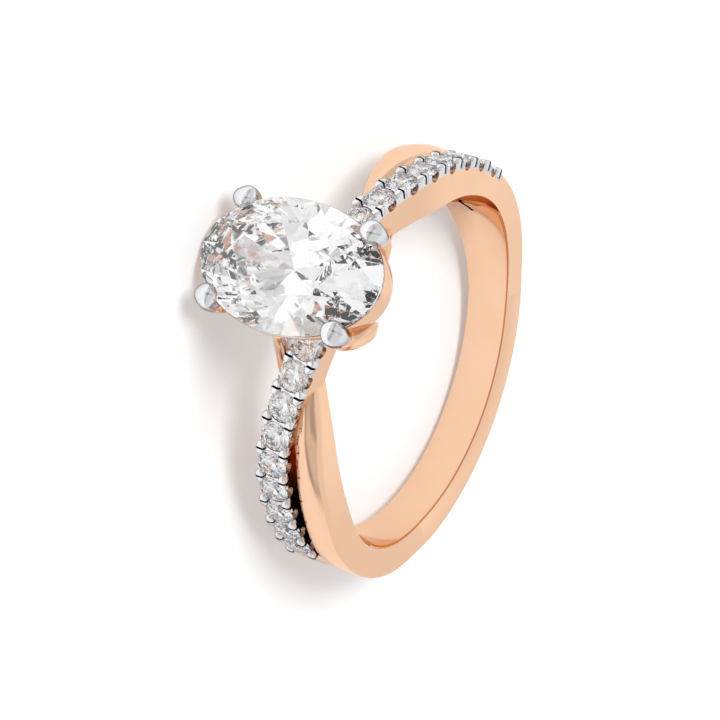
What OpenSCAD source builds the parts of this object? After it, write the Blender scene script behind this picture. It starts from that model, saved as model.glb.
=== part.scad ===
// Crossover solitaire ring: an oval brilliant in four claws on two strands that cross.
// Each strand is set with small brilliants on one shoulder and plain on the other.
// The ring is modelled upright around the finger's axis, with x along the finger, y along
// the shoulders and z towards the stone, and then laid on its side as it rests on a table.

/* [Finger band] */
// Inside diameter of the band, which fits the finger
bore_d = 17; // [15:0.5:20]
// Width of the band along the finger, at its back
band_w = 2.2; // [1.8:0.1:3]
// Thickness of the band at its back
band_t = 1.78; // [1.5:0.05:2.2]
// Bevel on the band's edges
edge_bevel = 0.1; // [0.05:0.05:0.2]

/* [Strands] */
// Half width of a stone-set strand
set_half = 0.8; // [0.75:0.05:0.95]
// Angle between two sections of a strand
section_step = 5; // [2:1:8]

/* [Centre stone] */
// Length of the oval stone, along the finger
stone_l = 9.2; // [8:0.1:10]
// Width of the oval stone
stone_w = 6.4; // [5.6:0.1:7]
// Height of the stone's girdle above the finger's axis
girdle_z = 15.8; // [15:0.1:17]

/* [Accent stones] */
// Diameter of an accent stone
accent_d = 1.52; // [1.2:0.02:1.56]
// Distance between two accent stones along the strand
accent_pitch = 1.63; // [1.55:0.01:1.8]
// Accent stones on each shoulder
accents = 9; // [4:1:9]
// Angle from the head to the first accent stone
first_accent = 12; // [12:0.2:16]

/* [Claws and rail] */
// Width of a claw's tip
claw_w = 1.15; // [0.9:0.05:1.3]
// Where the claws stand, measured along the finger
claw_x = 3.35; // [3:0.05:3.6]
// Where the claws stand, measured across the finger
claw_y = 2.46; // [2.2:0.02:2.6]
// Height of the thin rail under the girdle
rail_h = 0.36; // [0.3:0.02:0.6]
// Height of the wall under the girdle at both ends of the stone
end_wall_h = 1.35; // [1:0.05:1.8]

/* [Hidden] */
$fn = 48;

bore_r = bore_d / 2;
band_r = bore_r + band_t;
band_half = band_w / 2;
stone_a = stone_l / 2;
stone_b = stone_w / 2;
accent_r = accent_d / 2;
gap = 0.03;

// The closed band runs between these two angles, through the back at 180.
back_from = 89;
back_to = 360 - back_from;

// One strand, by its angle round the finger from the head. It is negative on the shoulder
// that carries stones and positive on the plain one. Columns: angle, place of the middle
// along the finger, half width, top above the bore, lower edge of the outer side above the
// bore, inner underside above the bore, how far that underside runs out from the inner
// edge, and how far the crowned top falls to the outer and to the inner edge.
A = 0; SIDE = 1; HALF = 2; TOP = 3; LOW_OUT = 4; LOW_IN = 5; FLAT = 6; FALL_OUT = 7; FALL_IN = 8;
flush = 0.04;
t0 = band_t - flush;
strand_rows = [
    [-140, -0.45, band_half - 0.47, t0, 0.17, flush, 1.18, 0.1, 0.02],
    [-130, -0.47, band_half - 0.43, t0, 0.17, flush, 1.18, 0.1, 0.02],
    [-120, -0.54, 0.70, band_t + 0.02, 0.17, flush, 1.16, 0.1, 0.02],
    [-100, -0.71, set_half, band_t + 0.1, 0.36, flush, 1.0, 0.1, 0.1],
    [-90, -0.82, set_half, band_t + 0.18, 0.52, flush, 0.65, 0.1, 0.1],
    [-80, -0.91, set_half, band_t + 0.31, 0.6, flush + 0.05, 0.12, 0.1, 0.1],
    [-60, -0.93, set_half, band_t + 0.79, 0.82, 0.45, 0.12, 0.1, 0.1],
    [-40, -0.80, set_half, band_t + 1.31, 1.06, 0.9, 0.12, 0.1, 0.1],
    [-20, -0.06, set_half, band_t + 1.75, 1.75, 1.7, 0.12, 0.1, 0.1],
    [-8, 0.45, set_half, band_t + 1.8, 2.35, 2.2, 0.12, 0.1, 0.1],
    [6, 0.75, set_half - 0.05, band_t + 1.25, 2.3, 2.1, 0.12, 0.2, 0.2],
    [20, 0.15, 0.78, band_t + 0.95, 1.5, 1.4, 0.3, 0.9, 0.6],
    [28, -0.43, 0.62, band_t + 1.05, 1.25, 0.85, 0.5, 1.1, 0.7],
    [35, -0.70, 0.67, band_t + 1.22, 1.15, 0.4, 0.7, 0.9, 0.6],
    [42, -0.87, 0.71, band_t + 1.17, 1.06, 0.12, 0.7, 0.7, 0.55],
    [50, -0.99, 0.77, band_t + 1.07, 0.96, flush, 0.7, 0.55, 0.5],
    [60, -1.04, 0.77, band_t + 0.92, 0.74, flush, 0.7, 0.6, 0.5],
    [70, -0.98, 0.77, band_t + 0.72, 0.6, flush, 0.75, 0.55, 0.45],
    [80, -0.90, 0.80, band_t + 0.47, 0.56, flush, 0.8, 0.4, 0.3],
    [90, -0.81, set_half, band_t + 0.27, 0.5, flush, 0.9, 0.25, 0.2],
    [100, -0.71, set_half, band_t + 0.12, 0.36, flush, 1.05, 0.15, 0.1],
    [120, -0.54, 0.70, band_t + 0.02, 0.17, flush, 1.16, 0.1, 0.02],
    [130, -0.47, band_half - 0.43, t0, 0.17, flush, 1.18, 0.1, 0.02],
    [140, -0.45, band_half - 0.47, t0, 0.17, flush, 1.18, 0.1, 0.02]
];
crest = -0.15;

// The rising arm that carries the plain strand up to the rail, after it has passed under the
// set one. Columns: angle, place along the finger, distance from the finger's axis to its
// outer face, thickness.
arm_rows = [
    [32, -0.35, bore_r + 2.3, 0.9],
    [27.4, 0.2, bore_r + 2.29, 0.8],
    [23.8, 0.83, bore_r + 2.24, 0.7],
    [20.2, 1.05, bore_r + 2.7, 0.55],
    [16.7, 0.95, bore_r + 3.49, 0.45],
    [14.5, 0.72, bore_r + 4.38, 0.42],
    [13, 0.28, bore_r + 5.55, 0.42],
    [12.2, -0.44, bore_r + 7.2, 0.42]
];
arm_w = 0.62;

// The claws from their roots on the strands to their tips over the stone. The one next to
// the set strand opens into a deep petal, the other runs into the end wall. Both follow the
// stone's outline. Columns: height below or above the girdle, angle round the outline,
// reach as a part of the outline, half width as an angle, thickness.
tip_turn = atan2(claw_y / stone_b, claw_x / stone_a);
tip_reach = norm([claw_x / stone_a, claw_y / stone_b]);
tip_span = claw_w * 6.8;
tip_rows = [
    [-0.9, tip_turn - 1, tip_reach - 0.01, tip_span + 0.6, 0.82],
    [-0.4, tip_turn, tip_reach, tip_span + 0.1, 0.95],
    [0.1, tip_turn, tip_reach, tip_span, 1.05],
    [0.38, tip_turn, tip_reach - 0.01, tip_span - 0.5, 0.98],
    [0.58, tip_turn, tip_reach - 0.03, tip_span - 1.8, 0.78],
    [0.71, tip_turn, tip_reach - 0.05, tip_span - 3.8, 0.48]
];
petal_rows = concat([
    [-4.3, 38, 0.34, 22, 0.8],
    [-3.8, 38, 0.56, 15, 0.6],
    [-3.4, 38, 0.75, 13, 0.5],
    [-3.1, 41, 0.88, 12.5, 0.45],
    [-2.8, 41.5, 0.94, 14.5, 0.42],
    [-2.35, 40.5, 0.955, 17.5, 0.42],
    [-1.9, 38.5, 0.965, 19.5, 0.45],
    [-1.5, 39.5, 0.975, 18, 0.5]
], tip_rows);
prong_rows = concat([
    [-4.3, 38, 0.36, 19, 0.8],
    [-3.7, 34, 0.5, 14, 0.6],
    [-3.1, 37, 0.65, 10.5, 0.5],
    [-2.5, 39.5, 0.79, 9, 0.5],
    [-1.95, 41.5, 0.895, 9, 0.5],
    [-1.45, 44, 0.98, 8.8, 0.6]
], tip_rows);

// How far the seats and cuts of the accent stones go into the strand
girdle_sink = 0.05;
seat_depth = 0.82;
side_cut_r = 0.3;
side_cut_z = -0.17;
side_cut_over = 0.12;
side_cut_h = 0.4;
post_r = 0.22;
post_place = 0.68;
post_h = 0.2;
post_sink = 0.36;
post_dome = 0.08;
slot_w = 0.09;
slot_depth = 0.5;
open_h = 0.7;

function accent_name(i) = str("accent_stone_", i < 10 ? "0" : "", i);

// A point at a place along the finger, a distance from its axis and an angle from the head
function polar(side, r, angle) = [side, r * sin(angle), r * cos(angle)];

// The row of a table in which a value falls, and a smooth curve through one column
function row_of(t, x, i = 0) = i >= len(t) - 2 || x < t[i + 1][A] ? i : row_of(t, x, i + 1);
function lean(t, i, c) =
    let (n = min(i + 1, len(t) - 1), p = max(i - 1, 0)) (t[n][c] - t[p][c]) / (t[n][A] - t[p][A]);
function smooth(t, x, c) =
    let (
        i = row_of(t, x),
        h = t[i + 1][A] - t[i][A],
        s = (x - t[i][A]) / h,
        s2 = s * s,
        s3 = s2 * s
    )
    (2 * s3 - 3 * s2 + 1) * t[i][c] + (s3 - 2 * s2 + s) * h * lean(t, i, c)
    + (3 * s2 - 2 * s3) * t[i + 1][c] + (s3 - s2) * h * lean(t, i + 1, c);

function strand_side(angle) = smooth(strand_rows, angle, SIDE);
function strand_top(angle) = bore_r + smooth(strand_rows, angle, TOP);
function strand_half(angle) = smooth(strand_rows, angle, HALF);

// Section of a strand: straight sides, a bevelled underside and a crowned top. Its outer
// side, away from the other strand, is towards -x on both shoulders.
function strand_section(angle) =
    let (
        m = strand_side(angle),
        w = strand_half(angle),
        low = bore_r + smooth(strand_rows, angle, LOW_OUT),
        low_in = bore_r + smooth(strand_rows, angle, LOW_IN),
        flat = smooth(strand_rows, angle, FLAT),
        top = strand_top(angle),
        d1 = smooth(strand_rows, angle, FALL_OUT),
        d2 = smooth(strand_rows, angle, FALL_IN),
        b = edge_bevel
    )
    concat(
        [polar(m + w, low_in + b, angle), polar(m + w - b, low_in, angle)],
        [polar(m + w - flat, low_in, angle), polar(m - w, low, angle)],
        [for (t = [0:30:60])
            polar(m + crest * w - (1 + crest) * w * cos(t), top - d1 * (1 - sin(t)), angle)],
        [for (t = [90:-30:0])
            polar(m + crest * w + (1 - crest) * w * cos(t), top - d2 * (1 - sin(t)), angle)]
    );

// A closed solid through a list of sections that all have as many points
module sweep(sections, ring = false) {
    n = len(sections[0]);
    last = len(sections) - (ring ? 0 : 1);
    sides = [for (k = [0:last - 1], i = [0:n - 1])
        let (k2 = (k + 1) % len(sections), j = (i + 1) % n)
        each [[k * n + i, k2 * n + j, k * n + j], [k * n + i, k2 * n + i, k2 * n + j]]];
    first_cap = ring ? [] : [[for (i = [0:n - 1]) i]];
    last_cap = ring ? [] : [[for (i = [n - 1:-1:0]) last * n + i]];
    polyhedron(points = [for (s = sections) each s], faces = concat(sides, first_cap, last_cap));
}

module half_turn_pair() {
    children();
    rotate(180) children();
}

module strand() {
    sweep([for (a = [strand_rows[0][A]:section_step:strand_rows[len(strand_rows) - 1][A]])
        strand_section(a)]);
}

// Section of the plain back of the band, with x as the distance from the axis
module band_section(r0, r1, x0, x1, b) {
    polygon([[r0 + b, x0], [r1 - b, x0], [r1, x0 + b], [r1, x1 - b],
        [r1 - b, x1], [r0 + b, x1], [r0, x1 - b], [r0, x0 + b]]);
}

// An arc of the band between two angles from the head
module band_arc(from, to, r0, r1, x0, x1, b) {
    rotate([0, 90, 0])
        rotate([0, 0, 180 - to])
            rotate_extrude(angle = to - from, $fn = 120)
                band_section(r0, r1, x0, x1, b);
}

// The inner edge of each plain shoulder keeps to the finger's circle further up than its
// outer edge, so the bore is round for more than three quarters of a turn.
liner_from = 44;
liner_t = 1.0;
liner_out = 0.82;
liner_in = 0.05;
liner_bevel = 0.06;
module bore_liner() {
    band_arc(liner_from, back_from + 2, bore_r, bore_r + liner_t, -liner_out, -liner_in, liner_bevel);
}

// The arm's section stands square to its path, in the plane across the finger. Its outer face
// has a low ridge, and falls away to both edges.
arm_fall = 0.2;
function arm_point(i) = let (r = arm_rows[i]) polar(r[1], r[2], r[0]);
function unit(v) = v / norm(v);
function arm_section(i) =
    let (
        p = arm_point(i),
        d = arm_point(min(i + 1, len(arm_rows) - 1)) - arm_point(max(i - 1, 0)),
        out = unit([0, d[2], -d[1]]),
        w = arm_w / 2,
        b = edge_bevel,
        t = arm_rows[i][3]
    )
    [for (q = [[w, -arm_fall], [w - b, -0.4 * arm_fall], [0.05, 0], [b - w, -0.4 * arm_fall],
            [-w, -arm_fall], [-w, -t], [w, -t]])
        p + [q[0], 0, 0] + q[1] * out];
module arm() {
    sweep([for (i = [0:len(arm_rows) - 1]) arm_section(i)]);
}

// Rail under the girdle. Its lower edge dips into a wall at both ends of the stone, where the
// direction from the middle lies within the angle whose cosine is dip_from.
rail_steps = 48;
dip_from = 0.45;
rail_top = girdle_z - 0.14;
rail_out = 0.02;
rail_in = 0.42;
rail_bulge = 0.03;
wall_taper = 0.05;
wall_t = 0.3;
function dip(angle) = pow(max(0, abs(cos(angle)) - dip_from) / (1 - dip_from), 0.7);
function rail_section(angle) =
    let (
        h = rail_h + (end_wall_h - rail_h) * dip(angle),
        c = [stone_a * cos(angle), stone_b * sin(angle), 0],
        n = unit([cos(angle) / stone_a, sin(angle) / stone_b, 0]),
        taper = wall_taper * (h - rail_h)
    )
    [for (q = [[-rail_in, 0], [rail_out, 0], [rail_out + rail_bulge, -0.5 * rail_h],
            [rail_out - taper, -h], [rail_out - taper - wall_t, -h], [-rail_in, -rail_h]])
        c + q[0] * n + [0, 0, rail_top + q[1]]];
module rail() {
    sweep([for (k = [0:rail_steps - 1]) rail_section(360 * k / rail_steps)], ring = true);
}

// A section of a claw follows the stone's outline and is thick across it.
claw_sides = 12;
claw_squareness = 0.8;
function rounded(v) = sign(v) * pow(abs(v), claw_squareness);
function claw_section(row) =
    [for (k = [0:claw_sides - 1])
        let (
            a = -360 * k / claw_sides,
            turn = row[1] + row[3] * rounded(cos(a)),
            out = unit([cos(turn) / stone_a, sin(turn) / stone_b]),
            q = row[2] * [stone_a * cos(turn), stone_b * sin(turn)]
                + 0.5 * row[4] * rounded(sin(a)) * out
        )
        [q[0], q[1], girdle_z + row[0]]];
module claw(rows) {
    sweep([for (row = rows) claw_section(row)]);
}
module claws() {
    half_turn_pair() {
        claw(prong_rows);
        mirror([0, 1, 0]) claw(petal_rows);
    }
}

// Brilliant cut of unit radius: table, crown and pavilion, by facet corners. Columns of a
// corner ring: radius, height, first angle, angle step.
table_r = 0.56;
crown_h = 0.3;
star_r = 0.76;
lower_r = 0.26;
pavilion_h = 0.86;
girdle_h = 0.05;
eighth = 45;
star_h = crown_h * (1 - star_r * cos(eighth / 2)) / (1 - table_r);
lower_h = pavilion_h * (1 - lower_r * cos(eighth / 2));

// Height at which an edge facet meets the girdle's cylinder, between two facet corners
function scallop(tip_r, tip_h, at) =
    let (m = cos(eighth / 4), tip = tip_r * cos(eighth / 4))
    tip_h * (cos(at) - m) / (tip - m);

function ring_points(r, z, a0, step, count) =
    [for (k = [0:count - 1]) [r * cos(a0 + k * step), r * sin(a0 + k * step), z]];

// The girdle has `cuts` straight sides under each of its sixteen edge facets.
function girdle_ring(cuts, tip_r, tip_h, z) =
    [for (j = [0:15], c = [0:cuts - 1])
        let (at = c * eighth / 2 / cuts, a = j * eighth / 2 + at)
        [cos(a), sin(a), z + scallop(tip_r, tip_h, at - eighth / 4)]];

module brilliant(rx, ry, cuts = 1) {
    g = 16 * cuts;
    depth = (rx + ry) / 2;
    h = min(rx, ry);
    table = ring_points(table_r, crown_h, 0, eighth, 8);
    stars = ring_points(star_r, star_h, eighth / 2, eighth, 8);
    upper = girdle_ring(cuts, star_r, star_h, 0);
    lower = girdle_ring(cuts, lower_r, -lower_h, -girdle_h);
    tips = ring_points(lower_r, -lower_h - girdle_h, eighth / 2, eighth, 8);
    culet = [[0, 0, -pavilion_h - girdle_h]];
    T = 0; S = 8; U = 16; L = U + g; P = L + g; C = P + 8;
    unit_points = concat(table, stars, upper, lower, tips, culet);
    faces = concat(
        [[for (k = [7:-1:0]) T + k]],
        [for (k = [0:7]) [T + k, T + (k + 1) % 8, S + k]],
        [for (k = [0:7]) [T + k, S + k, U + 2 * k * cuts, S + (k + 7) % 8]],
        [for (k = [0:7], e = [0, 1])
            concat([S + k], [for (c = [cuts:-1:0]) U + ((2 * k + e) * cuts + c) % g])],
        [for (i = [0:g - 1]) [U + i, U + (i + 1) % g, L + (i + 1) % g, L + i]],
        [for (k = [0:7], e = [0, 1])
            concat([P + k], [for (c = [0:cuts]) L + ((2 * k + e) * cuts + c) % g])],
        [for (k = [0:7]) [C, P + (k + 7) % 8, L + 2 * k * cuts, P + k]]
    );
    polyhedron(points = [for (p = unit_points) [p[0] * rx, p[1] * ry, p[2] * h]], faces = faces);
}

// Room for the centre stone, a little larger than the stone, as plain tapering rings. Columns:
// radius and height, as parts of the stone's.
room_sides = 32;
room_rings = [
    [0.05, -pavilion_h - girdle_h - 0.02],
    [1, -girdle_h - 0.03],
    [1, 0.04],
    [table_r + 0.02, crown_h + 0.03],
    [table_r, 1]
];
module stone_room() {
    sweep([for (q = room_rings)
        [for (k = [0:room_sides - 1])
            let (a = k * 360 / room_sides, r = q[0] / cos(180 / room_sides))
            [(stone_a * r + gap) * cos(a), (stone_b * r + gap) * sin(a), girdle_z + stone_b * q[1]]]]);
}

// Angle of an accent stone: each lies one pitch further along the strand than the last.
function travel(angle) =
    let (e = 0.5, d = polar(strand_side(angle + e), strand_top(angle + e), angle + e)
        - polar(strand_side(angle - e), strand_top(angle - e), angle - e))
    norm(d);
function accent_angle(i) =
    i <= 0 ? first_accent + i * 9 :
    let (last = accent_angle(i - 1)) last + accent_pitch / travel(-last - 3.5);
function post_angle(i) = (accent_angle(i - 1) + accent_angle(i)) / 2;

// Puts its children on the strand's top at an angle, turned square to its surface and path
module on_strand(angle) {
    e = 0.5;
    rise = strand_top(angle + e) - strand_top(angle - e);
    run = strand_top(angle) * 2 * e * PI / 180;
    drift = strand_side(angle + e) - strand_side(angle - e);
    translate(polar(strand_side(angle), strand_top(angle), angle))
        rotate([-angle + atan2(rise, run), 0, 0])
            rotate([0, 0, -atan2(drift, run)])
                children();
}

// Room for a small stone: a cone under its girdle and an open cylinder above
module accent_seat() {
    rim = girdle_sink + 0.1;
    translate([0, 0, -seat_depth])
        cylinder(h = seat_depth - rim, r1 = 0.2, r2 = accent_r + gap, $fn = 16);
    translate([0, 0, -rim])
        cylinder(h = rim + open_h, r = accent_r + gap, $fn = 16);
}
module side_cut() {
    length = 2 * (set_half + side_cut_over);
    translate([0, 0, side_cut_z])
        rotate([0, 90, 0])
            cylinder(h = length, r = side_cut_r, center = true, $fn = 14);
    translate([-length / 2, -side_cut_r, side_cut_z])
        cube([length, 2 * side_cut_r, side_cut_h]);
}

// Two prongs between neighbouring stones, each split by a slot that runs over its edge
module posts(angle) {
    on_strand(-angle)
        for (s = [-1, 1])
            translate([s * post_place, 0, 0])
                difference() {
                    union() {
                        translate([0, 0, -post_sink])
                            cylinder(h = post_sink + post_h - post_dome, r = post_r, $fn = 14);
                        translate([0, 0, post_h - post_dome])
                            cylinder(h = post_dome, r1 = post_r, r2 = post_r - 0.1, $fn = 14);
                    }
                    translate([-2 * post_r, -slot_w / 2, post_h - slot_depth])
                        cube([4 * post_r, slot_w, 2 * slot_depth]);
                }
}

// Narrow slit in the inner face, where the two strands meet
slit_from = 83;
slit_to = 96;
slit_w = 0.1;
slit_depth = 0.8;
module slit() {
    band_arc(slit_from, slit_to, bore_r - 0.3, bore_r + slit_depth, -slit_w / 2, slit_w / 2, 0.01);
}

module band_back() {
    band_arc(back_from, back_to, bore_r, band_r, -band_half, band_half, edge_bevel);
}

// Everything that is cast and soldered into one piece of metal
module casting() {
    difference() {
        union() {
            band_back();
            half_turn_pair() {
                strand();
                bore_liner();
                arm();
            }
            claws();
            rail();
        }
        stone_room();
        half_turn_pair() slit();
        half_turn_pair()
            for (i = [0:accents - 1])
                on_strand(-accent_angle(i)) {
                    accent_seat();
                    side_cut();
                }
    }
    half_turn_pair()
        for (i = [0:accents])
            posts(post_angle(i));
}

module upright_centre_stone() {
    translate([0, 0, girdle_z]) brilliant(stone_a, stone_b, 3);
}

// Stones are counted from the head outwards, first on one shoulder and then on the other.
module upright_accent(i) {
    far = i > accents;
    rotate(far ? 180 : 0)
        on_strand(-accent_angle((i - 1) % accents))
            translate([0, 0, -girdle_sink])
                rotate(eighth / 4) brilliant(accent_r, accent_r);
}

// The ring lies on its side on a table. It touches with the foot of the wall at one end of
// the stone and with the edge of the band's back, each given as its distance along the
// finger and its distance from the finger's axis.
wall_foot = [stone_a + rail_out - wall_taper * (end_wall_h - rail_h), rail_top - end_wall_h];
band_foot = [band_half, band_r - edge_bevel];
rest_tilt = atan2(wall_foot[0] - band_foot[0], wall_foot[1] + band_foot[1]);
rest_lift = band_foot[0] * cos(rest_tilt) + band_foot[1] * sin(rest_tilt);
rest_back = band_r * cos(rest_tilt) + (band_half - edge_bevel) * sin(rest_tilt);
rest_front = max([for (row = tip_rows, p = claw_section(row))
    p[2] * cos(rest_tilt) + p[0] * sin(rest_tilt)]);
module laid_down() {
    translate([0, (rest_front - rest_back) / 2, rest_lift])
        rotate([-rest_tilt, 0, 0])
            rotate([90, -90, 0])
                children();
}

module ring_mount() {
    color([0.93, 0.75, 0.63]) laid_down() casting();
}
module centre_stone() {
    color([0.93, 0.95, 0.97]) laid_down() upright_centre_stone();
}
module accent_stone(i) {
    color([0.88, 0.9, 0.93]) laid_down() upright_accent(i);
}

ring_mount();
centre_stone();
for (i = [1:2 * accents])
    accent_stone(i);
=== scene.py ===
"""The looks of a crossover solitaire ring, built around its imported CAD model.

Each piece is built upright and in millimetres, with x along the finger, y along the
shoulders and z towards the centre stone. It is then laid on its side, in metres, as the
ring rests on the table. Angles round the finger are in degrees and start at the head.
"""
from math import atan2, cos, degrees, hypot, pi, radians, sin, sqrt

import bmesh
import bpy
from mathutils import Euler, Matrix, Vector


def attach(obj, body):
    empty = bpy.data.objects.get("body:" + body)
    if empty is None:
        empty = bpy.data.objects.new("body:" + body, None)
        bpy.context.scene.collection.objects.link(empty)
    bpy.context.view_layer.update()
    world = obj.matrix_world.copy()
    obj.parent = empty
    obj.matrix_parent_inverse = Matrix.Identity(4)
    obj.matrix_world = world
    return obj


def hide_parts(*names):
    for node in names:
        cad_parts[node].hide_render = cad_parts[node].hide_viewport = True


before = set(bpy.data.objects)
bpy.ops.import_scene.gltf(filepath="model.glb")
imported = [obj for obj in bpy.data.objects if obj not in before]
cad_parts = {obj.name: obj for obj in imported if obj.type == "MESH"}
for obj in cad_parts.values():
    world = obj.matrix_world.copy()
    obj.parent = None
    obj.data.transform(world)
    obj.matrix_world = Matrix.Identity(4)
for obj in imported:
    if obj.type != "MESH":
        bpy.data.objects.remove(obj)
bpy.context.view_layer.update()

# Back of the band: a plain half hoop of rose gold with soft bevels, cast together with the
# strands and polished on felt. Where the strands part, its inner face is hollow, and two saw
# cuts run into it.
MM = 0.001
BORE_R = 8.5
BAND_T = 1.78
BAND_HALF = 1.1
EDGE, BAND_EDGE = 0.1, 0.05
HALF_TURN = Matrix.Rotation(pi, 4, "Z")

# The ring touches the table with the foot of the wall at one end of the stone and with the
# edge of the band's back, which tilts it.
REST_TILT = radians(8.06573)
REST_PLACE = Vector((0, 3.25807, 2.51746))
LAID = (
    Matrix.Scale(MM, 4)
    @ Matrix.Translation(REST_PLACE)
    @ Matrix.Rotation(-REST_TILT, 4, "X")
    @ Euler((pi / 2, -pi / 2, 0)).to_matrix().to_4x4()
)


def linear(hex_colour):
    """An sRGB hex colour as linear red, green, blue and alpha."""
    parts = [int(hex_colour[i : i + 2], 16) / 255 for i in (1, 3, 5)]
    return [c / 12.92 if c <= 0.04045 else ((c + 0.055) / 1.055) ** 2.4 for c in parts] + [1]


def add_node(tree, kind, settings=(), **links):
    """A node with its settings and with what is linked to its inputs, named with underscores."""
    node = tree.nodes.new(kind)
    for key, value in dict(settings).items():
        if isinstance(key, int) or key in node.inputs:
            node.inputs[key].default_value = value
        else:
            setattr(node, key, value)
    for name, source in links.items():
        place = int(name[1:]) if name[0] == "_" else name.replace("_", " ")
        tree.links.new(source, node.inputs[place])
    return node


def new_material(name):
    """A material with its node tree and the shader in it."""
    material = bpy.data.materials.new(name)
    material.use_nodes = True
    return material, material.node_tree, material.node_tree.nodes["Principled BSDF"]


DRIFT_MM = 2.5
HAIR_MM, HAIR_STRETCH = 0.12, 6
HAIR_SMOOTHER, HAIR_ROUGHER = 0.03, 0.04


def polished_metal(name, light, dark, edge, roughness, wave_mm, wave_height_mm):
    """Precious metal whose colour drifts a little, with the waves and hairlines of polishing.

    The edge colour is the one that it takes where it turns away from the eye.
    """
    material, tree, shader = new_material(name)
    shader.inputs["Metallic"].default_value = 1
    shader.inputs["Specular Tint"].default_value = linear(edge)
    place = add_node(tree, "ShaderNodeTexCoord").outputs["Object"]

    drift = add_node(
        tree, "ShaderNodeTexNoise", {"Scale": 1 / (DRIFT_MM * MM), "Detail": 2}, Vector=place
    )
    colours = {"data_type": "RGBA", 6: linear(light), 7: linear(dark)}
    colour = add_node(tree, "ShaderNodeMix", colours, _0=drift.outputs[0])
    tree.links.new(colour.outputs[2], shader.inputs["Base Color"])

    hairs = add_node(tree, "ShaderNodeMapping", {"Scale": (1, 1, HAIR_STRETCH)}, Vector=place)
    hairlines = add_node(
        tree, "ShaderNodeTexNoise", {"Scale": 1 / (HAIR_MM * MM), "Detail": 3}, Vector=hairs.outputs[0]
    )
    rough_range = {"To Min": roughness - HAIR_SMOOTHER, "To Max": roughness + HAIR_ROUGHER}
    rough = add_node(tree, "ShaderNodeMapRange", rough_range, Value=hairlines.outputs[0])
    tree.links.new(rough.outputs[0], shader.inputs["Roughness"])

    waves = add_node(
        tree, "ShaderNodeTexNoise", {"Scale": 1 / (wave_mm * MM), "Detail": 1}, Vector=place
    )
    bump_size = {"Distance": wave_height_mm * MM, "Strength": 1}
    bump = add_node(tree, "ShaderNodeBump", bump_size, Height=waves.outputs[0])
    tree.links.new(bump.outputs[0], shader.inputs["Normal"])
    return material


# Rose gold polished on felt is warm and mirror-like. Rhodium plating is thin and bright and white
# face on; its grey edge colour is painted shade, which darkens it where it turns away. Saw cuts,
# slots and the deep gap between the strands get a rough, nearly black metal: painted shade for the
# dark inside these narrow hollows. Gold in hollows and on undersides gets a redder, darker colour,
# which is painted shade, and a duller finish, as no felt reaches it.
rose_gold = polished_metal("rose_gold_polished", "#F4CCAC", "#F0C4A2", "#FCF0E6", 0.13, 1.6, 0.004)
# The rhodium's grey edge colour is painted shade: it darkens the plating where it turns away.
rhodium = polished_metal("rhodium_plating_bright", "#F0F0F2", "#E4E5E9", "#83858A", 0.1, 0.6, 0.002)
crevice_shade = polished_metal("crevice_shade_dark", "#3A322E", "#2A2422", "#3A322E", 0.5, 0.3, 0.004)
shade_painted = polished_metal(
    "rose_gold_shade_painted", "#D68E5F", "#C77E50", "#E8B48E", 0.28, 0.3, 0.004
)

# The metals of every piece, and their places in its material slots. Rose gold is the first.
metals = (rose_gold, rhodium, crevice_shade, shade_painted)
RHODIUM, CREVICE_SHADE, SHADE_PAINTED = 1, 2, 3


def polar(side, r, angle):
    """A point at a place along the finger, a distance from its axis and an angle from the head."""
    return Vector((side, r * sin(radians(angle)), r * cos(radians(angle))))


def smooth(rows, x, column):
    """A table's value between its rows, on a smooth curve through them."""
    last = len(rows) - 1
    i = max(0, min(last - 1, sum(row[0] <= x for row in rows) - 1))

    def lean(k):
        before, after = rows[max(k - 1, 0)], rows[min(k + 1, last)]
        return (after[column] - before[column]) / (after[0] - before[0])

    h = rows[i + 1][0] - rows[i][0]
    s = (x - rows[i][0]) / h
    return (
        (2 * s**3 - 3 * s**2 + 1) * rows[i][column]
        + (s**3 - 2 * s**2 + s) * h * lean(i)
        + (3 * s**2 - 2 * s**3) * rows[i + 1][column]
        + (s**3 - s**2) * h * lean(i + 1)
    )


def cap_ends(bm):
    """Closes the open ends of a shape and turns its faces outwards."""
    bmesh.ops.holes_fill(bm, edges=[e for e in bm.edges if e.is_boundary], sides=0)
    bmesh.ops.recalc_face_normals(bm, faces=bm.faces)


def loft(bm, loops, ring=False):
    """A closed skin over loops of points, bridged one to the next."""
    rings = []
    for points in loops:
        corners = [bm.verts.new(p) for p in points]
        rings.append([bm.edges.new((corners[i - 1], corners[i])) for i in range(len(corners))])
    for near, far in zip(rings, rings[1:] + rings[:1] if ring else rings[1:]):
        bmesh.ops.bridge_loops(bm, edges=near + far)
    cap_ends(bm)


def hoop(bm, start, end, r0, r1, x0, x1, steps):
    """A bar of oblong section bent round the finger between two angles from the head."""
    corners = [bm.verts.new(polar(x, r, start)) for x, r in ((x0, r0), (x1, r0), (x1, r1), (x0, r1))]
    edges = [bm.edges.new((corners[i - 1], corners[i])) for i in range(4)]
    turn = radians(end - start)
    bmesh.ops.spin(
        bm, geom=corners + edges, cent=(0, 0, 0), axis=(-1, 0, 0), angle=turn, steps=steps
    )
    cap_ends(bm)


def add_half_turn(bm):
    """Repeats a shape after half a turn about the stone's axis, as both shoulders are alike."""
    both = bmesh.ops.duplicate(bm, geom=bm.verts[:] + bm.edges[:] + bm.faces[:])["geom"]
    turned = [v for v in both if isinstance(v, bmesh.types.BMVert)]
    bmesh.ops.rotate(bm, cent=(0, 0, 0), matrix=HALF_TURN, verts=turned)


def to_object(name, bm, materials=metals):
    """A shape as a Blender object, shaded smooth."""
    mesh = bpy.data.meshes.new(name)
    bm.to_mesh(mesh)
    bm.free()
    for material in materials:
        mesh.materials.append(material)
    mesh.shade_smooth()
    made = bpy.data.objects.new(name, mesh)
    bpy.context.scene.collection.objects.link(made)
    return made


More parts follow.
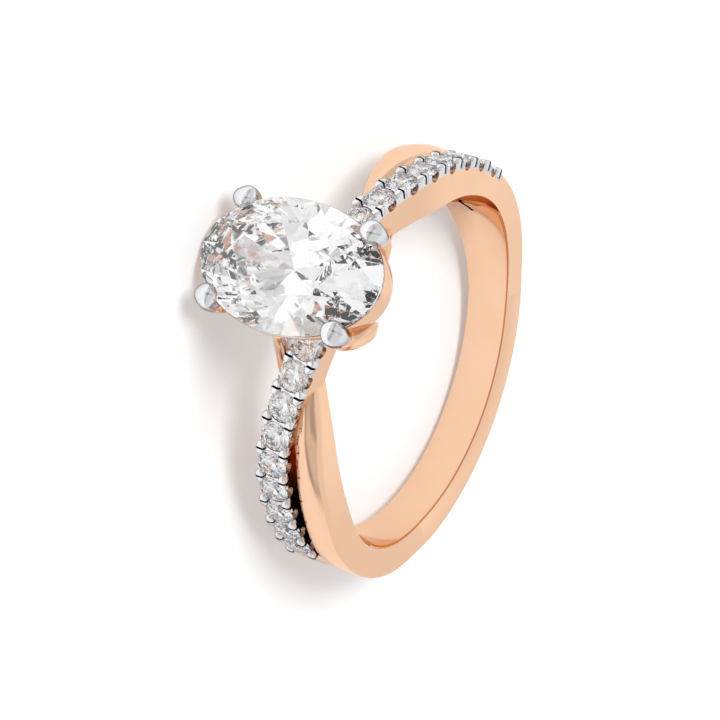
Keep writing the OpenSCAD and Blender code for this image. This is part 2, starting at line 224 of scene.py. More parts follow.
def cut(made, *cutters):
    """Takes the cutters' shapes out of a piece and throws the cutters away."""
    for cutter in cutters:
        saw = made.modifiers.new(cutter.name, "BOOLEAN")
        saw.operation, saw.solver, saw.object = "DIFFERENCE", "EXACT", cutter
    bpy.context.view_layer.update()
    sawn = made.evaluated_get(bpy.context.evaluated_depsgraph_get())
    mesh = bpy.data.meshes.new_from_object(sawn)
    made.modifiers.clear()
    mesh.name, made.data = made.name, mesh
    for cutter in cutters:
        bpy.data.objects.remove(cutter)


def lay_down(made, sharp=38):
    """Lays a piece of the ring's metal on the table, with creases at its sharp edges."""
    made.data.transform(LAID)
    made.data.set_sharp_from_angle(angle=radians(sharp))
    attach(made, "root")
    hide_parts("ring_mount")


SLIT_FROM, SLIT_TO = 74, 88
SLIT_PLACE, SLIT_W, SLIT_DEPTH = 0.42, 0.15, 0.8
SLIT_IN_BORE = 0.3
SLIT_STEPS = 12


def slits():
    """Saw cuts in the inner face, one on each side, where the two strands part."""
    bm = bmesh.new()
    x0, x1 = SLIT_PLACE - SLIT_W / 2, SLIT_PLACE + SLIT_W / 2
    hoop(bm, SLIT_FROM, SLIT_TO, BORE_R - SLIT_IN_BORE, BORE_R + SLIT_DEPTH, x0, x1, SLIT_STEPS)
    add_half_turn(bm)
    # The cuts' walls get the nearly black metal: painted shade inside the cuts.
    for face in bm.faces:
        face.material_index = CREVICE_SHADE
    return to_object("slits", bm)


# Each row: angle, half width, rise of the inner face at its edges, and thickness.
WIDE, RISE, THICK = 1, 2, 3
band_rows = [
    (76, 0.6, 0.2, 0.9),
    (79, 1, 0.24, 1.1),
    (83, 1.34, 0.27, 1.3),
    (87, 1.52, 0.28, 1.5),
    (90, 1.61, 0.29, 1.6),
    (96, 1.55, 0.23, 1.68),
    (104, 1.45, 0.16, BAND_T - 0.03),
    (118, 1.26, 0.09, BAND_T),
    (130, 1.14, 0.04, BAND_T),
    (140, BAND_HALF, 0, BAND_T),
    (181, BAND_HALF, 0, BAND_T),
]
BACK_FROM = band_rows[0][0]
BAND_STEPS = 104
HOLLOW = 1.3
INNER_PARTS = 4
FACES_ASIDE, STRAIGHT_ASIDE = 0.3, 0.97
BETWEEN_STRANDS = 14
INNER_BEVEL = 0.5


def band_section(angle):
    """The inner face from edge to edge, then the right wall, the flat top and the left wall."""
    half, rise, top = (smooth(band_rows, min(angle, 360 - angle), c) for c in (WIDE, RISE, THICK))
    top_half = min(half, BAND_HALF) - BAND_EDGE
    inner = []
    for part in (k / INNER_PARTS for k in range(1 - INNER_PARTS, INNER_PARTS)):
        inner.append((half * part, BORE_R + rise * abs(part) ** HOLLOW))
    right = [
        (half - BAND_EDGE, BORE_R + rise),
        (half, BORE_R + rise + EDGE),
        (top_half + BAND_EDGE, BORE_R + top - BAND_EDGE),
        (top_half, BORE_R + top),
    ]
    left = [(-x, r) for x, r in reversed(right)]
    return [polar(x, r, angle) for x, r in inner + right + left]


bm = bmesh.new()
turns = [BACK_FROM + (360 - 2 * BACK_FROM) * k / BAND_STEPS for k in range(BAND_STEPS + 1)]
loft(bm, [band_section(a) for a in turns])
# Faces between the strands and on the inner bevels get the redder, darker gold: painted shade.
for face in bm.faces:
    centre = face.calc_center_median()
    aside = abs(face.normal.x)
    between = abs(degrees(atan2(centre.y, centre.z))) < BACK_FROM + BETWEEN_STRANDS
    bevel = aside < STRAIGHT_ASIDE and centre.yz.length < BORE_R + INNER_BEVEL
    if aside > FACES_ASIDE and (between or bevel):
        face.material_index = SHADE_PAINTED
band = to_object("band_back", bm)
cut(band, slits())
lay_down(band)

# The two strands: each is set with brilliants on one shoulder, and on the other it is plain,
# crowned and polished. They cross under the head. The top of the set part, with the upper
# edge of its sides, is plated with rhodium, so that the metal is as white as the stones.
SET_HALF = 0.8
FLUSH = 0.04
T0 = BAND_T - FLUSH

# Each row: angle, place of the middle along the finger, half width, how high its top and its
# outer and inner lower edges are over the finger hole, width of the flat underside, and how
# far the crown falls to its outer and inner side.
SIDE, HALF, TOP, LOW_OUT, LOW_IN, FLAT, FALL_OUT, FALL_IN = range(1, 9)
strand_rows = [
    (-140, -0.45, BAND_HALF - 0.47, T0, 0.12, 0.12, 1.18, 0.1, 0.02),
    (-130, -0.47, BAND_HALF - 0.43, T0, 0.15, 0.15, 1.18, 0.1, 0.02),
    (-120, -0.54, 0.70, BAND_T + 0.02, 0.2, 0.2, 1.16, 0.1, 0.02),
    (-100, -0.71, SET_HALF, BAND_T + 0.1, 0.34, 0.34, 1.2, 0.1, 0.1),
    (-90, -0.82, SET_HALF, BAND_T + 0.18, 0.47, 0.47, 0.65, 0.1, 0.1),
    (-80, -0.91, SET_HALF, BAND_T + 0.31, 0.6, FLUSH + 0.05, 0.12, 0.1, 0.1),
    (-60, -0.93, SET_HALF, BAND_T + 0.79, 0.82, 0.45, 0.12, 0.1, 0.1),
    (-40, -0.80, SET_HALF, BAND_T + 1.31, 1.06, 0.9, 0.12, 0.1, 0.1),
    (-20, -0.06, SET_HALF, BAND_T + 1.75, 1.75, 1.7, 0.12, 0.1, 0.1),
    (-8, 0.45, SET_HALF, BAND_T + 1.8, 2.35, 2.2, 0.12, 0.1, 0.1),
    (6, 0.75, SET_HALF - 0.05, BAND_T + 1.25, 2.3, 2.1, 0.12, 0.2, 0.2),
    (20, 0.15, 0.78, BAND_T + 0.95, 1.5, 1.4, 0.3, 0.9, 0.6),
    (28, -0.43, 0.62, BAND_T + 1.05, 1.25, 0.85, 0.5, 1.1, 0.7),
    (35, -0.70, 0.67, BAND_T + 1.22, 1.15, 0.4, 0.7, 0.9, 0.6),
    (42, -0.87, 0.71, BAND_T + 1.17, 1.06, 0.12, 0.7, 0.7, 0.55),
    (50, -0.99, 0.77, BAND_T + 1.07, 0.96, FLUSH, 0.7, 0.55, 0.5),
    (60, -1.04, 0.77, BAND_T + 0.92, 0.74, FLUSH, 0.7, 0.6, 0.5),
    (70, -0.98, 0.77, BAND_T + 0.72, 0.6, FLUSH, 0.75, 0.55, 0.45),
    (80, -0.90, 0.80, BAND_T + 0.47, 0.56, FLUSH, 0.8, 0.4, 0.3),
    (90, -0.81, SET_HALF, BAND_T + 0.27, 0.47, 0.47, 0.9, 0.25, 0.2),
    (100, -0.71, SET_HALF, BAND_T + 0.12, 0.34, 0.34, 1.2, 0.15, 0.1),
    (120, -0.54, 0.70, BAND_T + 0.02, 0.2, 0.2, 1.16, 0.1, 0.02),
    (130, -0.47, BAND_HALF - 0.43, T0, 0.15, 0.15, 1.18, 0.1, 0.02),
    (140, -0.45, BAND_HALF - 0.47, T0, 0.12, 0.12, 1.18, 0.1, 0.02),
]
STRAND_STEP = 2

# The plain part's crown has its crest a little outside the middle, and a crease further out.
# Each row: angle, and how far out the crease lies, as a share of the half width.
CREST = -0.12
CREASE_DEPTH, CREASE_FALL = 0.25, 1.5
GROOVE, GROOVE_FROM, GROOVE_TO, GROOVE_FADE = 0.05, 22, 46, 8
CROWN_STEP, STEEP = 10, 50
crease_rows = [(14, 0.97), (28, 0.73), (34, 0.73), (40, 0.85), (52, 0.94), (60, 0.97), (80, 0.97)]

# What is plated, and where shade is painted: the walls of the gap between the strands, painted nearly
# black beside the lining and in the redder, darker gold before it, and the undersides, in that gold.
PLATED_H = 0.28
PLATED_FROM, PLATED_TO = -81.5, 14
LEAST_WALL = 0.05
GAP_FROM, LINED_FROM, GAP_TO = 40, 51, 86
FACES_GAP, FACES_FINGER = 0.8, -0.3
STRAND_SHARP = 34


def strand_side(angle):
    return smooth(strand_rows, angle, SIDE)


def strand_top(angle):
    return BORE_R + smooth(strand_rows, angle, TOP)


def crown(angle, m, w):
    """The crown's outer part with its crease and groove, and its rounded inner part."""
    top = strand_top(angle)
    fall_out, fall_in = (smooth(strand_rows, angle, c) for c in (FALL_OUT, FALL_IN))
    crease = smooth(crease_rows, min(crease_rows[-1][0], max(crease_rows[0][0], angle)), 1)
    steep = radians(STEEP)
    outer = []
    for t in (radians(a) for a in range(0, STEEP + 1, CROWN_STEP)):
        up, across = sin(t) / sin(steep), (1 - cos(t)) / (1 - cos(steep))
        outer.append((m - w + (1 - crease) * w * across, top - fall_out * (1 - (1 - CREASE_DEPTH) * up)))
    side, r = outer.pop()
    fade = min(1, max(0, min(angle - GROOVE_FROM, GROOVE_TO - angle) / GROOVE_FADE))
    outer.append((side, r - GROOVE * fade))
    for left in (0.75, 0.5, 0.25):
        side = m + w * (CREST - left * (crease + CREST))
        outer.append((side, top - CREASE_DEPTH * fall_out * left**CREASE_FALL))
    inner = []
    for t in (radians(a) for a in range(90, -1, -CROWN_STEP)):
        inner.append((m + w * (CREST + (1 - CREST) * cos(t)), top - fall_in * (1 - sin(t))))
    return outer, inner


def strand_section(angle):
    """A bevelled underside, straight sides with the plating's edge on them, and the crown."""
    m, w = strand_side(angle), smooth(strand_rows, angle, HALF)
    flat = smooth(strand_rows, angle, FLAT)
    low, low_in = (BORE_R + smooth(strand_rows, angle, c) for c in (LOW_OUT, LOW_IN))
    under = [(m + w, low_in + EDGE), (m + w - EDGE, low_in), (m + w - flat, low_in), (m - w, low)]
    outer, inner = crown(angle, m, w)
    plated_out = max(outer[0][1] - PLATED_H, low + LEAST_WALL)
    plated_in = max(inner[-1][1] - PLATED_H, low_in + EDGE + LEAST_WALL)
    section = under + [(m - w, plated_out)] + outer + inner + [(m + w, plated_in)]
    return [polar(side, r, angle) for side, r in section]


HALF_DEGREE = 0.5


def on_strand(angle):
    """The place on the strand's top at an angle, turned square to its surface and path."""
    e = HALF_DEGREE
    rise = strand_top(angle + e) - strand_top(angle - e)
    run = strand_top(angle) * radians(2 * e)
    drift = strand_side(angle + e) - strand_side(angle - e)
    return (
        Matrix.Translation(polar(strand_side(angle), strand_top(angle), angle))
        @ Matrix.Rotation(radians(-angle) + atan2(rise, run), 4, "X")
        @ Matrix.Rotation(-atan2(drift, run), 4, "Z")
    )


# The small stones lie one pitch apart along the strand, and prongs stand between them and at
# both ends of the row.
ACCENTS = 9
ACCENT_R = 0.76
ACCENT_PITCH = 1.63
FIRST_ACCENT = 12
HEAD_STEP = 9
AHEAD = 3.5
accent_angles = [FIRST_ACCENT - HEAD_STEP, FIRST_ACCENT]
while len(accent_angles) < ACCENTS + 2:
    here = -accent_angles[-1] - AHEAD
    near, far = here - HALF_DEGREE, here + HALF_DEGREE
    ends = [polar(strand_side(a), strand_top(a), a) for a in (near, far)]
    accent_angles.append(accent_angles[-1] + ACCENT_PITCH / (ends[1] - ends[0]).length)
prong_angles = [(near + far) / 2 for near, far in zip(accent_angles, accent_angles[1:])]
accent_angles = accent_angles[1:-1]

GAP = 0.03
SEAT_DEPTH, SEAT_FOOT_R = 0.82, 0.2
SEAT_RIM = 0.15
SEAT_OPEN_H = 0.7
SEAT_SIDES = 32
STRIP = 0.6


def seats():
    """A cone under each stone's girdle and an open bore above it, as a setting burr cuts them."""
    bm = bmesh.new()
    r = ACCENT_R + GAP
    for angle in accent_angles:
        place = on_strand(-angle)
        for r1, z0, z1 in ((SEAT_FOOT_R, -SEAT_DEPTH, -SEAT_RIM), (r, -SEAT_RIM, SEAT_OPEN_H)):
            bmesh.ops.create_cone(
                bm,
                cap_ends=True,
                segments=SEAT_SIDES,
                radius1=r1,
                radius2=r,
                depth=z1 - z0,
                matrix=place @ Matrix.Translation((0, 0, (z0 + z1) / 2)),
            )
    bmesh.ops.remove_doubles(bm, verts=bm.verts, dist=1e-4)
    discs = [f for f in bm.faces if len(f.verts) == SEAT_SIDES]
    inside = [f for f in discs if all(len(e.link_faces) > 2 for e in f.edges)]
    bmesh.ops.delete(bm, geom=inside, context="FACES_ONLY")
    bmesh.ops.recalc_face_normals(bm, faces=bm.faces)

    # The wall of the open bore is made of narrow strips, and it is plated.
    for face in bm.faces:
        lengths = sorted(e.calc_length() for e in face.edges)
        if len(lengths) == 4 and lengths[0] < STRIP * lengths[1]:
            face.material_index = RHODIUM
    return to_object("seats", bm)


SIDE_CUT_R, SIDE_CUT_Z = 0.3, -0.17
SIDE_CUT_TOP, SIDE_CUT_LENGTH = 0.6, 1.9


def side_cuts():
    """A round-bottomed cut from side to side under each stone, which lets the light in."""
    bm = bmesh.new()
    bottom = [radians(t) for t in range(180, 361, 15)]
    arch = [(SIDE_CUT_R * cos(t), SIDE_CUT_Z + SIDE_CUT_R * sin(t)) for t in bottom]
    arch += [(SIDE_CUT_R, SIDE_CUT_TOP), (-SIDE_CUT_R, SIDE_CUT_TOP)]
    for angle in accent_angles:
        start = len(bm.verts)
        face = bm.faces.new([bm.verts.new((-SIDE_CUT_LENGTH / 2, y, z)) for y, z in arch])
        side = bmesh.ops.extrude_face_region(bm, geom=[face])["geom"]
        moved = [v for v in side if isinstance(v, bmesh.types.BMVert)]
        bmesh.ops.translate(bm, vec=(SIDE_CUT_LENGTH, 0, 0), verts=moved)
        bm.verts.ensure_lookup_table()
        bmesh.ops.transform(bm, matrix=on_strand(-angle), verts=bm.verts[start:])
    bmesh.ops.recalc_face_normals(bm, faces=bm.faces)
    return to_object("side_cuts", bm)


SLOT_W, SLOT_LENGTH, SLOT_H = 0.12, 1, 0.72
SLOT_PLACE, SLOT_Z = 0.92, 0.2


def prong_slots():
    """The saw cuts that split the prongs and run a little way down the strand's sides."""
    bm = bmesh.new()
    for angle in prong_angles:
        for side in (-1, 1):
            slot = Matrix.Diagonal((SLOT_LENGTH, SLOT_W, SLOT_H, 1))
            place = on_strand(-angle) @ Matrix.Translation((side * SLOT_PLACE, 0, SLOT_Z))
            bmesh.ops.create_cube(bm, matrix=place @ slot)
    # The slots' walls get the nearly black metal: painted shade inside the slots.
    for face in bm.faces:
        face.material_index = CREVICE_SHADE
    return to_object("prong_slots", bm)


# Each row of the room for the centre stone: share of the stone's size, and height above its
# girdle as a share of its half width.
GIRDLE_Z = 15.8
STONE_A, STONE_B = 4.6, 3.2
room_rows = ((0.05, -0.93), (1, -0.08), (1, 0.04), (0.58, 0.33), (0.56, 1))
ROOM_STEP = 5


def stone_room():
    """The space that the centre stone takes in the metal around it."""
    bm = bmesh.new()
    turns = [radians(t) for t in range(0, 360, ROOM_STEP)]
    loops = []
    for share, height in room_rows:
        a, b = STONE_A * share + GAP, STONE_B * share + GAP
        loops.append([Vector((a * cos(t), b * sin(t), GIRDLE_Z + STONE_B * height)) for t in turns])
    loft(bm, loops)
    for face in bm.faces:
        face.material_index = RHODIUM
    return to_object("stone_room", bm)


for name, turn in (("strand_front", Matrix.Identity(4)), ("strand_rear", HALF_TURN)):
    bm = bmesh.new()
    first, last = strand_rows[0][0], strand_rows[-1][0]
    loft(bm, [strand_section(a) for a in range(first, last + 1, STRAND_STEP)])
    for face in bm.faces:
        centre = face.calc_center_median()
        angle = degrees(atan2(centre.y, centre.z))
        r = hypot(centre.y, centre.z)
        fall = smooth(strand_rows, max(angle, first), FALL_OUT)
        underside = face.normal.dot(Vector((0, centre.y, centre.z)) / r) < FACES_FINGER
        if PLATED_FROM < angle < PLATED_TO and r > strand_top(angle) - fall - PLATED_H:
            face.material_index = RHODIUM
        # Walls of the gap beside the lining get the nearly black metal, and those before it the redder,
        # darker gold: both are painted shade.
        elif face.normal.x > FACES_GAP and GAP_FROM < abs(angle) < GAP_TO:
            face.material_index = CREVICE_SHADE if abs(angle) > LINED_FROM else SHADE_PAINTED
        # Undersides that face the finger get the redder, darker gold: painted shade.
        elif underside and centre.x < strand_side(angle):
            face.material_index = SHADE_PAINTED
    strand = to_object(name, bm)
    cut(strand, seats(), side_cuts(), prong_slots(), stone_room(), slits())
    strand.data.transform(turn)
    lay_down(strand, STRAND_SHARP)

# Inner lining of the shoulders: the strand's inner edge keeps to the finger's circle further
# up than its outer edge does. It is rose gold, cast with the strand, and tapers at its ends.
LINED_TO = 91
LINING_X0, LINING_X1, LINING_T = -0.82, -0.05, 1
LINING_STEPS = 40
RUN_OUT, RUN_OUT_RISE = 8, 0.014


def soften(bm, width, sharp=40, segments=3):
    """Rounds every edge that is sharper than an angle."""
    edges = [e for e in bm.edges if e.calc_face_angle(0) > radians(sharp)]
    bmesh.ops.bevel(
        bm, geom=edges, offset=width, segments=segments, affect="EDGES", profile=0.5, material=-1
    )


bm = bmesh.new()
hoop(bm, LINED_FROM, LINED_TO, BORE_R, BORE_R + LINING_T, LINING_X0, LINING_X1, LINING_STEPS)
for v in bm.verts:
    turned = degrees(atan2(v.co.y, v.co.z))
    if v.co.yz.length < BORE_R + LINING_T / 2:
        v.co.yz *= 1 + RUN_OUT_RISE * max(0, 1 - min(turned - LINED_FROM, LINED_TO - turned) / RUN_OUT)
soften(bm, width=0.06)
add_half_turn(bm)
lining = to_object("shoulder_linings", bm)
cut(lining, slits())
lay_down(lining)

# The rising arms: a bent bar of rose gold on each side carries the plain strand up to the
# rail under the stone. Its outer face has a low ridge.
ARM_W = 0.62
ARM_FALL, RIDGE_SHARE = 0.2, 0.4
RIDGE_PLACE = 0.05

# Each row: angle, place along the finger, distance from its axis, and the bar's thickness.
ARM_SIDE, ARM_R, ARM_T = 1, 2, 3
arm_rows = [
    (12.2, -0.44, BORE_R + 7.2, 0.42),
    (13, 0.28, BORE_R + 5.55, 0.42),
    (14.5, 0.72, BORE_R + 4.38, 0.42),
    (16.7, 0.95, BORE_R + 3.49, 0.45),
    (20.2, 1.05, BORE_R + 2.7, 0.55),
    (23.8, 0.83, BORE_R + 2.24, 0.7),
    (27.4, 0.2, BORE_R + 2.29, 0.8),
    (32, -0.35, BORE_R + 2.3, 0.9),
]
steep_angles = [12.2, 12.35, 12.5, 12.75, 13, 13.4, 13.8, 14.2, 14.6, 15, 15.5, 16, 16.5]
arm_angles = steep_angles + [17 + 0.75 * k for k in range(21)]


def arm_point(angle):
    return polar(smooth(arm_rows, angle, ARM_SIDE), smooth(arm_rows, angle, ARM_R), angle)


def arm_section(angle):
    """Square to the arm's path: a ridged outer face and straight sides."""
    e = 0.1
    path = arm_point(angle - e) - arm_point(angle + e)
    out = Vector((0, path.z, -path.y)).normalized()
    w, t = ARM_W / 2, smooth(arm_rows, angle, ARM_T)
    shoulder = -RIDGE_SHARE * ARM_FALL
    corners = [(w, -ARM_FALL), (w - EDGE, shoulder), (RIDGE_PLACE, 0), (EDGE - w, shoulder)]
    corners += [(-w, -ARM_FALL), (-w, -t), (w, -t)]
    return [arm_point(angle) + Vector((x, 0, 0)) + y * out for x, y in corners]


bm = bmesh.new()
loft(bm, [arm_section(a) for a in reversed(arm_angles)])
soften(bm, width=0.05, sharp=50, segments=2)
add_half_turn(bm)
arms = to_object("arms", bm)
cut(arms, stone_room())
lay_down(arms)

# Rail under the girdle: a thin oval wire of rose gold that deepens into a wall at both ends of
# the stone. It is bent from flat wire and soldered to the claws.
RAIL_H, END_WALL_H = 0.36, 1.35
RAIL_TOP = GIRDLE_Z - 0.14
RAIL_OUT, RAIL_IN, RAIL_BULGE = 0.02, 0.42, 0.03
WALL_TAPER, WALL_T = 0.05, 0.3
DIP_FROM, DIP_BEND = 0.45, 0.7
RAIL_STEP = 3


def outwards(t):
    """The direction that points away from the stone's outline, where the outline has turned by t."""
    return Vector((cos(t) / STONE_A, sin(t) / STONE_B, 0)).normalized()


def rail_section(angle):
    """A flat-topped wire with a bulging outer side, and the wall that hangs from it."""
    t = radians(angle)
    dip = (max(0, abs(cos(t)) - DIP_FROM) / (1 - DIP_FROM)) ** DIP_BEND
    h = RAIL_H + (END_WALL_H - RAIL_H) * dip
    centre = Vector((STONE_A * cos(t), STONE_B * sin(t), RAIL_TOP))
    foot = RAIL_OUT - WALL_TAPER * (h - RAIL_H)
    corners = [(-RAIL_IN, 0), (RAIL_OUT, 0), (RAIL_OUT + RAIL_BULGE, -0.5 * RAIL_H)]
    corners += [(foot, -h), (foot - WALL_T, -h), (-RAIL_IN, -RAIL_H)]
    return [centre + across * outwards(t) + Vector((0, 0, up)) for across, up in corners]


bm = bmesh.new()
loft(bm, [rail_section(a) for a in range(0, 360, RAIL_STEP)], ring=True)
soften(bm, width=0.05, sharp=60)
rail = to_object("rail", bm)
cut(rail, stone_room())
lay_down(rail)

# Four claws hold the stone at its corners: tapering prongs of rose gold that rise from the
# strands and close over the girdle in round tips. The tips are plated with rhodium.
CLAW_W, TURN_FOR_WIDTH = 1.09, 7.1
CLAW_X, CLAW_Y = 3.35, 2.46
CLAW_SIDES, CLAW_STEPS = 24, 54
CLAW_SQUARE = 0.8
CLAW_SHARP = 60
TIP_FROM = -0.45
TIP_TURN = degrees(atan2(CLAW_Y / STONE_B, CLAW_X / STONE_A))
TIP_REACH = hypot(CLAW_X / STONE_A, CLAW_Y / STONE_B)
TIP_SPAN = CLAW_W * TURN_FOR_WIDTH
DOME_FROM, DOME_H, DOME_STEP = 0.22, 0.54, 8

# Each row: height over the girdle, turn along the outline, reach as a share of the stone's
# size, half the turn that the claw's width takes, and thickness.
tip_rows = [
    (-0.9, TIP_TURN - 1, TIP_REACH - 0.01, TIP_SPAN + 0.1, 0.82),
    (-0.4, TIP_TURN, TIP_REACH, TIP_SPAN, 0.95),
    (0.1, TIP_TURN, TIP_REACH, TIP_SPAN, 1.05),
    (DOME_FROM + DOME_H, TIP_TURN, TIP_REACH - 0.04, TIP_SPAN, 1.05),
]
petal_rows = [
    (-4.3, 38, 0.34, 22, 0.8),
    (-3.8, 38, 0.56, 15, 0.6),
    (-3.4, 38, 0.75, 13, 0.5),
    (-3.1, 41, 0.88, 12.5, 0.45),
    (-2.8, 41.5, 0.94, 14.5, 0.42),
    (-2.35, 40.5, 0.955, 17.5, 0.42),
    (-1.9, 38.5, 0.965, 19.5, 0.45),
    (-1.5, 39.5, 0.975, 18, 0.5),
] + tip_rows
prong_rows = [
    (-4.3, 38, 0.36, 19, 0.8),
    (-3.7, 34, 0.5, 14, 0.6),
    (-3.1, 37, 0.65, 10.5, 0.5),
    (-2.5, 39.5, 0.79, 9, 0.5),
    (-1.95, 41.5, 0.895, 9, 0.5),
    (-1.45, 44, 0.98, 8.8, 0.6),
] + tip_rows


def claw_section(rows, height):
    """A rounded slab that follows the stone's outline and is thick across it."""
    turn, reach, span, thick = (smooth(rows, height, c) for c in range(1, 5))
    round_off = sqrt(1 - min(1, max(0, height - DOME_FROM) / DOME_H) ** 2)
    points = []
    for a in (-2 * pi * k / CLAW_SIDES for k in range(CLAW_SIDES)):
        along, across = (abs(v) ** CLAW_SQUARE * (1 if v > 0 else -1) for v in (cos(a), sin(a)))
        t = radians(turn + span * round_off * along)
        on_outline = Vector((reach * STONE_A * cos(t), reach * STONE_B * sin(t), GIRDLE_Z + height))
        points.append(on_outline + thick / 2 * round_off * across * outwards(t))
    return points


def take_in(bm, part):
    """Adds a finished part to a larger mesh."""
    mesh = bpy.data.meshes.new("part")
    part.to_mesh(mesh)
    part.free()
    bm.from_mesh(mesh)
    bpy.data.meshes.remove(mesh)


bm = bmesh.new()
for rows, side in ((prong_rows, 1), (petal_rows, -1)):
    foot = rows[0][0]
    heights = [foot + (DOME_FROM - foot) * k / CLAW_STEPS for k in range(CLAW_STEPS)]
    heights += [DOME_FROM + DOME_H * sin(radians(t)) for t in range(0, 89, DOME_STEP)]
    for turn in (Matrix.Identity(4), HALF_TURN):
        part = bmesh.new()
        loft(part, [claw_section(rows, z) for z in heights])
        bmesh.ops.transform(part, matrix=turn @ Matrix.Diagonal((1, side, 1, 1)), verts=part.verts)
        bmesh.ops.recalc_face_normals(part, faces=part.faces)
        take_in(bm, part)
for face in bm.faces:
    if face.calc_center_median().z > GIRDLE_Z + TIP_FROM:
        face.material_index = RHODIUM
claws = to_object("claws", bm)
cut(claws, stone_room())
lay_down(claws, CLAW_SHARP)

# Small prongs between the accent stones, two to a gap: round rhodium-plated posts that are
# raised from the strand's edge, split by a saw cut and rounded over.
PRONG_R, PRONG_L = 0.22, 0.33
PRONG_PLACE = 0.61
FACES_SLOT = 0.9

# Each row: height over the strand's top, and share of the full radius.
dome_rows = ((-0.3, 1), (0.06, 1), (0.13, 0.93), (0.17, 0.78), (0.19, 0.52))


def half_prong(half):
    """The half of a prong on one side of its saw cut."""
    part = bmesh.new()
    turns = [radians(t) for t in range(0, 181, 15)]
    loops = []
    for z, share in dome_rows:
        a, b = PRONG_R * share, PRONG_L * share
        loops.append([Vector((a * cos(t), half * (SLOT_W / 2 + b * sin(t)), z)) for t in turns])
    loft(part, loops)
    # The faces in the saw cut get the nearly black metal: painted shade inside the slot.
    for face in part.faces:
        face.material_index = CREVICE_SHADE if face.normal.y * half < -FACES_SLOT else RHODIUM
    return part


bm = bmesh.new()
for turn in (Matrix.Identity(4), HALF_TURN):
    for angle in prong_angles:
        for side in (-1, 1):
            place = on_strand(-angle) @ Matrix.Translation((side * PRONG_PLACE, 0, 0))
            for half in (-1, 1):
                part = half_prong(half)
                bmesh.ops.transform(part, matrix=turn @ place, verts=part.verts)
                take_in(bm, part)
prongs = to_object("accent_prongs", bm)
lay_down(prongs)

# The stones: an oval brilliant and eighteen small round ones, clear and colourless, cut and
# polished to sharp flat facets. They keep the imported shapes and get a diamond's refraction.
TINT_MM = 3
diamond, tree, shader = new_material("diamond_cut")
for name, value in (("Transmission Weight", 1), ("IOR", 2.417), ("Roughness", 0)):
    shader.inputs[name].default_value = value
place = add_node(tree, "ShaderNodeTexCoord").outputs["Object"]
tint = add_node(
    tree, "ShaderNodeTexNoise", {"Scale": 1 / (TINT_MM * MM), "Detail": 1}, Vector=place
)
colours = {"data_type": "RGBA", 6: linear("#FFFFFF"), 7: linear("#FBFBFE")}
tone = add_node(tree, "ShaderNodeMix", colours, _0=tint.outputs[0])
tree.links.new(tone.outputs[2], shader.inputs["Base Color"])
for name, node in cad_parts.items():
    if name != "ring_mount":
        node.data.materials.clear()
        node.data.materials.append(diamond)

# The table is a sheet of opal acrylic, lit softly from below as a product photographer does.
# Its face is matt, and its own glow keeps the shadow pale.
TABLE_R = 1.5
bm = bmesh.new()
bmesh.ops.create_circle(bm, cap_ends=True, radius=TABLE_R, segments=96)
acrylic, tree, shader = new_material("opal_acrylic")
for name, value in (
    ("Base Color", linear("#CBCBCB")),
    ("Roughness", 0.7),
    ("Emission Color", (1, 1, 1, 1)),
    ("Emission Strength", 0.26),
):
    shader.inputs[name].default_value = value
table = to_object("table", bm, (acrylic,))

# The studio is a white tent of cloth with soft panels of light. Where the photographer stands
# it has a dark opening, and dark seams run over that side of it.
TENT, SEAM, DARKEST = 0.75, -0.32, 0.02

# Each panel: its direction, the cosines at which it fades out and is full, and what it adds.
panels = [
    ((0, 0.85, 0.5), 0.3, 0.9, 0.17),
    ((-0.6, 0.75, 0.28), 0.84, 0.93, 0.15),
    ((-0.1, -0.9, 0.35), 0.6, 0.9, 0.1),
    ((0.17, -0.82, 0.54), 0.94, 0.99, -0.2),
]
FRONT, FRONT_FADE, FRONT_FULL = (0.1, -0.9, 0.4), 0.1, 0.3

# Each seam: the direction that it is square to, and the cosine at which it fades out.
seams = [((0.99, 0.12, 0.05), 0.2), ((0.05, 0.5, 0.87), 0.2)]

scene = bpy.context.scene
scene.view_settings.view_transform = "Standard"
scene.world = bpy.data.worlds.new("studio")
scene.world.use_nodes = True
tree = scene.world.node_tree
backdrop = tree.nodes["Background"]
sky = add_node(tree, "ShaderNodeTexCoord").outputs["Generated"]
glow = add_node(tree, "ShaderNodeValue")
glow.outputs[0].default_value = TENT
total = glow.outputs[0]
for direction, fade, full, added in panels:
    towards = {"operation": "DOT_PRODUCT", 1: Vector(direction).normalized()}
    facing = add_node(tree, "ShaderNodeVectorMath", towards, _0=sky).outputs["Value"]
    soft = {"interpolation_type": "SMOOTHSTEP", 1: fade, 2: full, 3: 0, 4: added}
    share = add_node(tree, "ShaderNodeMapRange", soft, _0=facing).outputs[0]
    total = add_node(tree, "ShaderNodeMath", {"operation": "ADD"}, _0=total, _1=share).outputs[0]

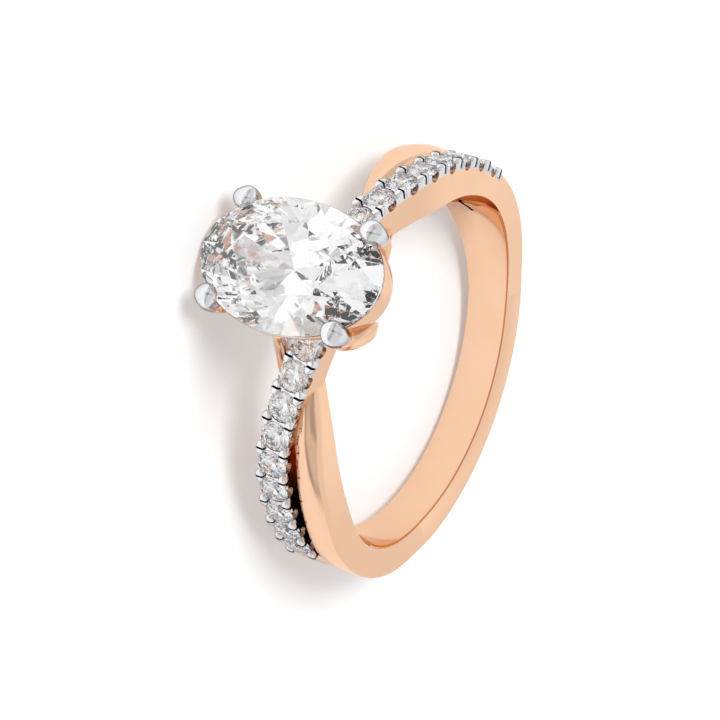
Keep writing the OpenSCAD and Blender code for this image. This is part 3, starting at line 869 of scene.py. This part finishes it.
towards = {"operation": "DOT_PRODUCT", 1: Vector(FRONT).normalized()}
facing = add_node(tree, "ShaderNodeVectorMath", towards, _0=sky).outputs["Value"]
front = add_node(tree, "ShaderNodeMapRange", {1: FRONT_FADE, 2: FRONT_FULL}, _0=facing).outputs[0]
for square_to, fade in seams:
    towards = {"operation": "DOT_PRODUCT", 1: Vector(square_to).normalized()}
    facing = add_node(tree, "ShaderNodeVectorMath", towards, _0=sky).outputs["Value"]
    off = add_node(tree, "ShaderNodeMath", {"operation": "ABSOLUTE"}, _0=facing).outputs[0]
    soft = {"interpolation_type": "SMOOTHSTEP", 1: 0, 2: fade, 3: SEAM, 4: 0}
    share = add_node(tree, "ShaderNodeMapRange", soft, _0=off).outputs[0]
    total = add_node(
        tree, "ShaderNodeMath", {"operation": "MULTIPLY_ADD"}, _0=share, _1=front, _2=total
    ).outputs[0]
total = add_node(tree, "ShaderNodeMath", {"operation": "MAXIMUM", 1: DARKEST}, _0=total).outputs[0]
tree.links.new(total, backdrop.inputs["Strength"])
backdrop.inputs["Color"].default_value = (1, 1, 1, 1)

# A round lamp inside the tent gives the shadow. It shows in no reflection.
key_data = bpy.data.lights.new("key", "AREA")
key_data.shape, key_data.size, key_data.energy = "DISK", 0.2, 1.5
key = bpy.data.objects.new("key", key_data)
key.location = Vector((-0.12, -0.22, 0.33))
key.rotation_euler = (Vector((0, 0, 0)) - key.location).to_track_quat("-Z", "Y").to_euler()
key.visible_glossy = key.visible_transmission = False
scene.collection.objects.link(key)

# The camera sees the ring as the photograph does. The ring lies on its side, so the camera is
# turned on its side too.
camera_data = bpy.data.cameras.new("camera")
camera_data.lens = 162.3
camera_data.sensor_width = 36
camera_data.clip_start = 0.01
camera = bpy.data.objects.new("camera", camera_data)
camera.location = Vector((27.159, -129.897, 87.462)) * MM
camera.rotation_euler = Euler([radians(a) for a in (-21.785, -54.268, 127.664)])
scene.collection.objects.link(camera)
scene.camera = camera
scene.cycles.use_denoising = True
scene.cycles.max_bounces = 32
scene.cycles.transmission_bounces = 24
scene.cycles.glossy_bounces = 12
